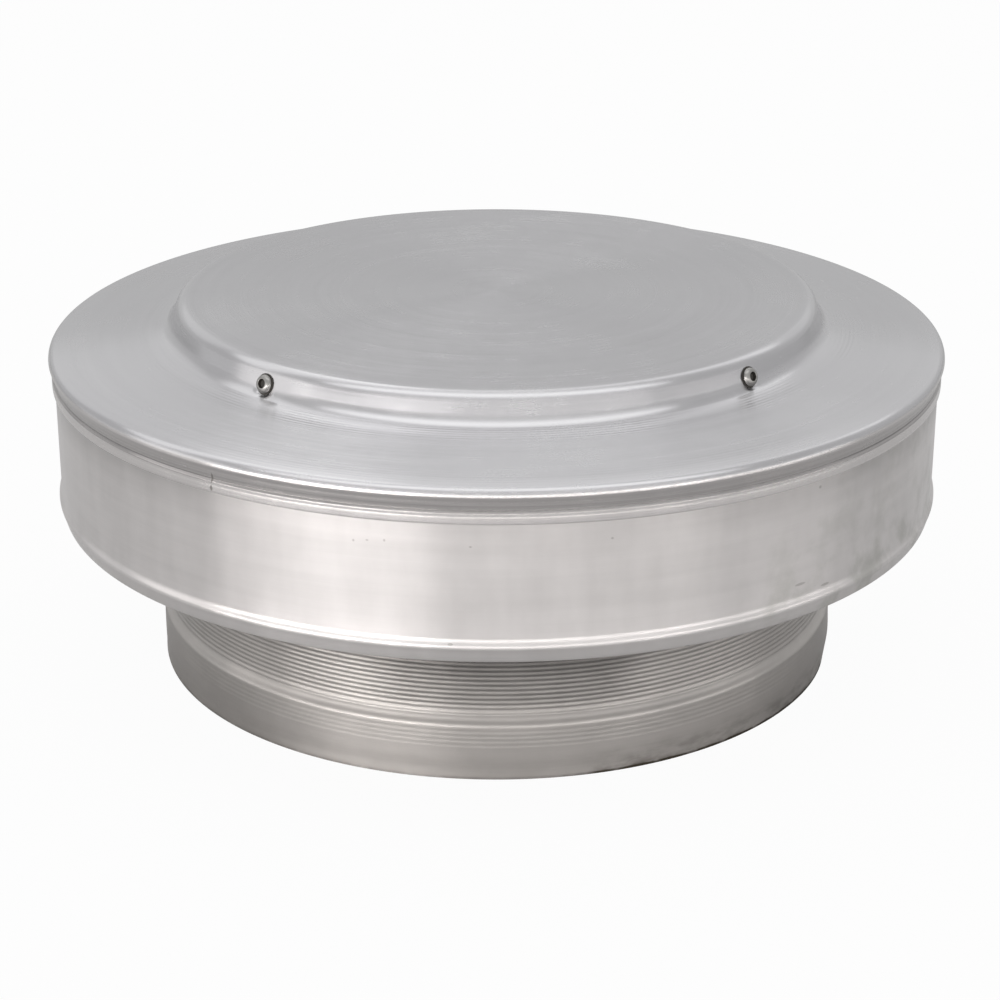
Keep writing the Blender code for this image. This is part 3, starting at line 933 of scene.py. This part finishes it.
def band_metal(finish):
    """Return the skirt band's sheet: rolled grain, wiped smears, stains at the right and specks, with
    painted shade on the bead and under the flange.
    """
    metal = Metal("skirt_band_aluminium")
    metal.draw_out(finish.brushing)
    fine = metal.spin_marks(0.0008)
    cloud = metal.mottle(0.040)
    patch = metal.mottle(0.009)
    smears = metal.streaks(70.0, 14.0, 0.0, detail=2.5)
    wipes = metal.streaks(12.0, 160.0, 4.0, detail=1.5)
    low = 1 - metal.height.ramp(*BAND_LOWER)
    spread = metal.side(BAND_STAINED, soft=12) * metal.mottle(0.016, detail=6.0).ramp(0.42, 0.72)
    stain = ((0.5 + 0.7 * low) * spread).clamped()
    base = metal.mix(finish.stain_depth * stain, finish.band, finish.tarnish)
    light = metal.swing(1, (fine, 0.05), (cloud, 0.10), (patch, 0.06), (smears, 0.18), (wipes, 0.14))
    # Painted shade: the bead at the band's lower edge is painted darker.
    light = light - finish.bead_shade * metal.height.between(*BAND_BEAD, 0.0010)
    # Painted shade: the band's upper part, under the flange, is painted darker.
    light = light - finish.under_flange_shade * metal.height.ramp(*BAND_UPPER)
    tint = metal.mix(finish.speck_dark * metal.marks(BAND_SPECKS), metal.lit(base, light), finish.grime)
    metal.emboss((metal.mottle(0.050, detail=1.0) - 0.5) * 0.00012)
    polish = metal.swing(finish.roughness + 0.05, (cloud, 0.03), (patch, 0.02), (smears, 0.01))
    return metal.shade(tint, polish + 0.10 * stain)


def collar_metal(finish, sizes):
    """Return the collar's duller sheet, with painted shade in its grooves and on its neck, and stained
    along its lower edge.
    """
    metal = Metal("collar_aluminium_sheet")
    metal.draw_out(finish.brushing)
    fine = metal.spin_marks(0.0008)
    cloud = metal.mottle(0.035)
    patch = metal.mottle(0.008, detail=6.0)
    smears = metal.streaks(70.0, 190.0, 2.0, detail=6.0)
    right = metal.side(COLLAR_STAINED, soft=14)
    front = metal.side(COLLAR_SHADED, soft=11)
    edge_line = (1 - metal.height.ramp(*COLLAR_EDGE_LINE)) * (0.30 + 0.60 * right)
    edge = (1 - metal.height.ramp(*COLLAR_EDGE)) * (0.16 + 0.20 * right)
    splash = (1 - metal.height.ramp(*COLLAR_SPLASH)) * (0.42 * right)
    grime = ((splash + edge) * smears.ramp(0.34, 0.70) + edge_line * smears.ramp(0.25, 0.50)).clamped()
    base = metal.mix(grime, finish.collar, finish.grime)
    rib_top = sizes.rib_start + sizes.rib_count * sizes.rib_pitch
    in_ribs = metal.height.between(sizes.rib_start, rib_top, 0.0002)
    turn = (metal.height - sizes.rib_start) * (math.tau / sizes.rib_pitch)
    groove = in_ribs * (0.5 - 0.5 * (turn + math.pi / 2).sine())
    light = metal.swing(1, (fine, 0.10), (cloud, 0.14), (patch, 0.10), (smears, 0.12))
    # Painted shade: darker in the rib grooves and over the neck above the shoulder.
    light = light - 0.10 * groove - 0.03 * metal.height.ramp(*COLLAR_SHOULDER)
    # Painted shade: the upper neck, under the skirt's overhang, is painted darker.
    light = light - finish.neck_shade * metal.height.ramp(*COLLAR_NECK)
    # Painted shade: the front of the neck is painted darker.
    light = light - finish.front_shade * front * metal.height.ramp(*COLLAR_FRONT)
    polish = metal.swing(finish.roughness + 0.10, (fine, 0.10), (cloud, 0.14))
    return metal.shade(metal.lit(base, light), polish + 0.12 * grime)


def strap_metal(finish):
    """Return the straps' flat bar: long rolling lines and a satin face."""
    metal = Metal("strap_bar_aluminium")
    rolling = metal.vector(metal.angle * 900.0, metal.height * 12.0, metal.radius * 40.0)
    lines = metal.noise(rolling)
    cloud = metal.mottle(0.020)
    tint = metal.lit(finish.strap, metal.swing(1, (lines, 0.14), (cloud, 0.14)))
    return metal.shade(tint, metal.swing(0.40, (lines, 0.12), (cloud, 0.10)))


def rivet_metal(finish):
    """Return the metal of the rivets, with small handling marks."""
    metal = Metal("rivet_head_aluminium")
    cloud = metal.mottle(0.003, detail=5.0)
    fine = metal.mottle(0.0006, detail=2.0)
    tint = metal.lit(finish.rivet, metal.swing(1, (cloud, 0.22), (fine, 0.10)))
    metal.emboss((cloud - 0.5) * 0.00003)
    return metal.shade(tint, metal.swing(0.34, (cloud, 0.14)))


def crevice_shade_metal(finish):
    """Return the painted shade in the rivets' bores and round the edges of their domes, mottled with the
    grime colour.
    """
    metal = Metal("rivet_crevice_grime")
    cloud = metal.mottle(0.0015, detail=5.0)
    tint = metal.mix(0.5 * cloud, finish.crevice_shade, finish.grime)
    return metal.shade(tint, metal.swing(0.60, (cloud, 0.2)), metallic=0.0)


# Stage


def make_floor(stage):
    """Lay a pale floor that shows white to the camera and keeps the cap's shadow."""
    deselect_all()
    bpy.ops.mesh.primitive_plane_add(size=stage.floor_size, location=(0, 0, -0.0001))
    floor = name_piece("stage_floor")
    material = bpy.data.materials.new("stage_floor_paint")
    material.use_nodes = True
    board = Board(material.node_tree)
    output = board.tree.nodes.new("ShaderNodeOutputMaterial")
    place = board.node("ShaderNodeTexCoord", output="Object")
    grain = board.node("ShaderNodeTexNoise", None, {"Vector": place, "Scale": 60.0, "Detail": 4.0})
    paint = board.mix(0.04 * grain, stage.floor_colour, (0.50, 0.50, 0.50))
    matt = board.node("ShaderNodeBsdfDiffuse", None, {"Color": paint})
    white = board.node("ShaderNodeEmission", None, {"Color": WHITE, "Strength": 1.0})
    rays = board.tree.nodes.new("ShaderNodeLightPath").outputs
    seen = Signal(board, rays["Is Camera Ray"])
    mirrored = Signal(board, rays["Is Glossy Ray"]) + Signal(board, rays["Is Transmission Ray"])
    lit = (stage.floor_seen * seen + stage.floor_mirrored * mirrored).clamped()
    mixed = board.node("ShaderNodeMixShader", None, {0: lit, 1: matt, 2: white})
    board.feed(output.inputs["Surface"], mixed)
    floor.data.materials.append(material)


def make_world(stage):
    """Light the room evenly from its white walls."""
    world = bpy.data.worlds.new("studio_room")
    bpy.context.scene.world = world
    world.use_nodes = True
    board = Board(world.node_tree)
    output = board.tree.nodes.new("ShaderNodeOutputWorld")
    rays = board.tree.nodes.new("ShaderNodeLightPath").outputs
    seen = Signal(board, rays["Is Camera Ray"])
    strength = stage.world_light + (1 - stage.world_light) * seen
    room = board.node("ShaderNodeBackground", None, {"Color": WHITE, "Strength": strength})
    board.feed(output.inputs["Surface"], room)


def stage_place(stage, azimuth, elevation):
    """Return a place round the cap from its angle off the front and its angle over the floor."""
    level = stage.lamp_reach * math.cos(elevation)
    return Vector((
        level * math.sin(azimuth), -level * math.cos(azimuth), stage.lamp_reach * math.sin(elevation)
    ))


def make_lamps(stage):
    """Hang the soft oval lamps round the cap, each facing it."""
    for name, *angles, brightness, tint in LAMPS:
        azimuth, elevation, width, height = map(math.radians, angles)
        data = bpy.data.lights.new(name, "AREA")
        data.shape = "ELLIPSE"
        data.size = 2 * stage.lamp_reach * math.tan(width / 2)
        data.size_y = 2 * stage.lamp_reach * math.tan(height / 2)
        face_area = math.pi / 4 * data.size * data.size_y
        data.energy = brightness * math.pi * face_area
        data.color = tint
        lamp = bpy.data.objects.new(name, data)
        bpy.context.scene.collection.objects.link(lamp)
        lamp.location = stage_place(stage, azimuth, elevation)
        lamp.rotation_euler = (-lamp.location).to_track_quat("-Z", "Y").to_euler()
        lamp.visible_camera = False


def make_camera(stage):
    """Stand the camera where the photo was taken from."""
    data = bpy.data.cameras.new("photo_camera")
    data.sensor_width = 36.0
    data.lens = stage.camera_lens
    data.shift_x = stage.camera_shift
    camera = bpy.data.objects.new("photo_camera", data)
    bpy.context.scene.collection.objects.link(camera)
    camera.location = stage.camera_place
    camera.rotation_euler = (math.pi / 2 - stage.camera_pitch, 0.0, 0.0)
    bpy.context.scene.camera = camera


# Operators and panel


class VENT_OT_hood(bpy.types.Operator):
    """Turn the hood and give it its spun finish"""

    bl_idname = "vent_cap.hood"
    bl_label = "Hood"

    def execute(self, context):
        scene = context.scene
        sizes = scene.vent_hood
        hood = make_hood(sizes)
        turns = strap_angles(scene.vent_straps)
        press_seats(hood, sizes, [wall_seat(sizes, scene.vent_straps, turn) for turn in turns])
        put_on(hood, "hood", "spun_aluminium", hood_metal(scene.vent_finish, sizes))
        return {"FINISHED"}


class VENT_OT_band(bpy.types.Operator):
    """Turn the skirt band with its bead and hem"""

    bl_idname = "vent_cap.band"
    bl_label = "Skirt band"

    def execute(self, context):
        scene = context.scene
        band = make_band(scene.vent_band, scene.vent_hood)
        put_on(band, "skirt_band", "spun_aluminium", band_metal(scene.vent_finish))
        return {"FINISHED"}


class VENT_OT_collar(bpy.types.Operator):
    """Turn the collar with its ribbed neck and knocked edge"""

    bl_idname = "vent_cap.collar"
    bl_label = "Collar"

    def execute(self, context):
        scene = context.scene
        collar = make_collar(scene.vent_collar, scene.vent_hood.sheet)
        metal = collar_metal(scene.vent_finish, scene.vent_collar)
        put_on(collar, "collar", "collar_aluminium", metal)
        return {"FINISHED"}


class VENT_OT_straps(bpy.types.Operator):
    """Bend the four straps that carry the hood"""

    bl_idname = "vent_cap.straps"
    bl_label = "Straps"

    def execute(self, context):
        scene = context.scene
        sizes = scene.vent_straps
        metal = strap_metal(scene.vent_finish)
        for number, turn in enumerate(strap_angles(sizes), start=1):
            strap = make_strap(number, turn, sizes, scene.vent_hood, scene.vent_collar)
            put_on(strap, f"support_strap_{number}", "strap_aluminium", metal)
        return {"FINISHED"}


class VENT_OT_rivets(bpy.types.Operator):
    """Turn one blind rivet and set a copy in each seat"""

    bl_idname = "vent_cap.rivets"
    bl_label = "Rivets"

    def execute(self, context):
        scene = context.scene
        sizes = scene.vent_rivets
        straps = scene.vent_straps
        pattern = make_rivet(sizes)
        mark_crevice_shades(pattern, sizes)
        metals = (rivet_metal(scene.vent_finish), crevice_shade_metal(scene.vent_finish))
        for number, turn in enumerate(strap_angles(straps), start=1):
            seats = {
                f"cap_rivet_{number}": wall_seat(scene.vent_hood, straps, turn),
                f"collar_rivet_{number}": collar_seat(scene.vent_collar, straps, turn),
            }
            for node, seat in seats.items():
                deselect_all()
                rivet = pattern.copy()
                rivet.data = pattern.data.copy()
                rivet.name = rivet.data.name = node.replace("rivet", "blind_rivet")
                scene.collection.objects.link(rivet)
                rivet.data.transform(seat @ Matrix.Translation((0, 0, straps.head_gap)))
                put_on(rivet, node, "rivet_aluminium", *metals)
        bpy.data.objects.remove(pattern)
        return {"FINISHED"}


class VENT_OT_stage(bpy.types.Operator):
    """Set up the floor, the room's light, the lamps and the camera"""

    bl_idname = "vent_cap.stage"
    bl_label = "Stage"

    def execute(self, context):
        stage = context.scene.vent_stage
        make_floor(stage)
        make_world(stage)
        make_lamps(stage)
        make_camera(stage)
        context.scene.view_settings.view_transform = "Standard"
        return {"FINISHED"}


class VENT_PT_cap(bpy.types.Panel):
    """Lists the steps that build the vent pipe cap"""

    bl_idname = "VENT_PT_cap"
    bl_label = "Vent Pipe Cap"
    bl_space_type = "VIEW_3D"
    bl_region_type = "UI"
    bl_category = "Vent Cap"

    def draw(self, context):
        scene = context.scene
        for operator, group in STEPS:
            box = self.layout.box()
            box.operator(operator.bl_idname)
            settings = getattr(scene, group)
            for name in settings.bl_rna.properties.keys():
                if name not in ("rna_type", "name"):
                    box.prop(settings, name)


GROUPS = {
    "vent_hood": VentHoodSizes,
    "vent_band": VentBandSizes,
    "vent_collar": VentCollarSizes,
    "vent_straps": VentStrapSizes,
    "vent_rivets": VentRivetSizes,
    "vent_finish": VentFinish,
    "vent_stage": VentStage,
}
STEPS = (
    (VENT_OT_hood, "vent_hood"),
    (VENT_OT_band, "vent_band"),
    (VENT_OT_collar, "vent_collar"),
    (VENT_OT_straps, "vent_straps"),
    (VENT_OT_rivets, "vent_rivets"),
    (VENT_OT_stage, "vent_stage"),
)


def register():
    """Register the settings, the operators and the panel."""
    for name, group in GROUPS.items():
        bpy.utils.register_class(group)
        setattr(bpy.types.Scene, name, PointerProperty(type=group))
    for operator, _ in STEPS:
        bpy.utils.register_class(operator)
    bpy.utils.register_class(VENT_PT_cap)


def unregister():
    """Take back what register added."""
    bpy.utils.unregister_class(VENT_PT_cap)
    for operator, _ in STEPS:
        bpy.utils.unregister_class(operator)
    for name, group in GROUPS.items():
        delattr(bpy.types.Scene, name)
        bpy.utils.unregister_class(group)


def main():
    """Build the whole cap on its stage."""
    register()
    bpy.ops.vent_cap.hood()
    bpy.ops.vent_cap.band()
    bpy.ops.vent_cap.collar()
    bpy.ops.vent_cap.straps()
    bpy.ops.vent_cap.rivets()
    bpy.ops.vent_cap.stage()


if __name__ == "__main__":
    main()
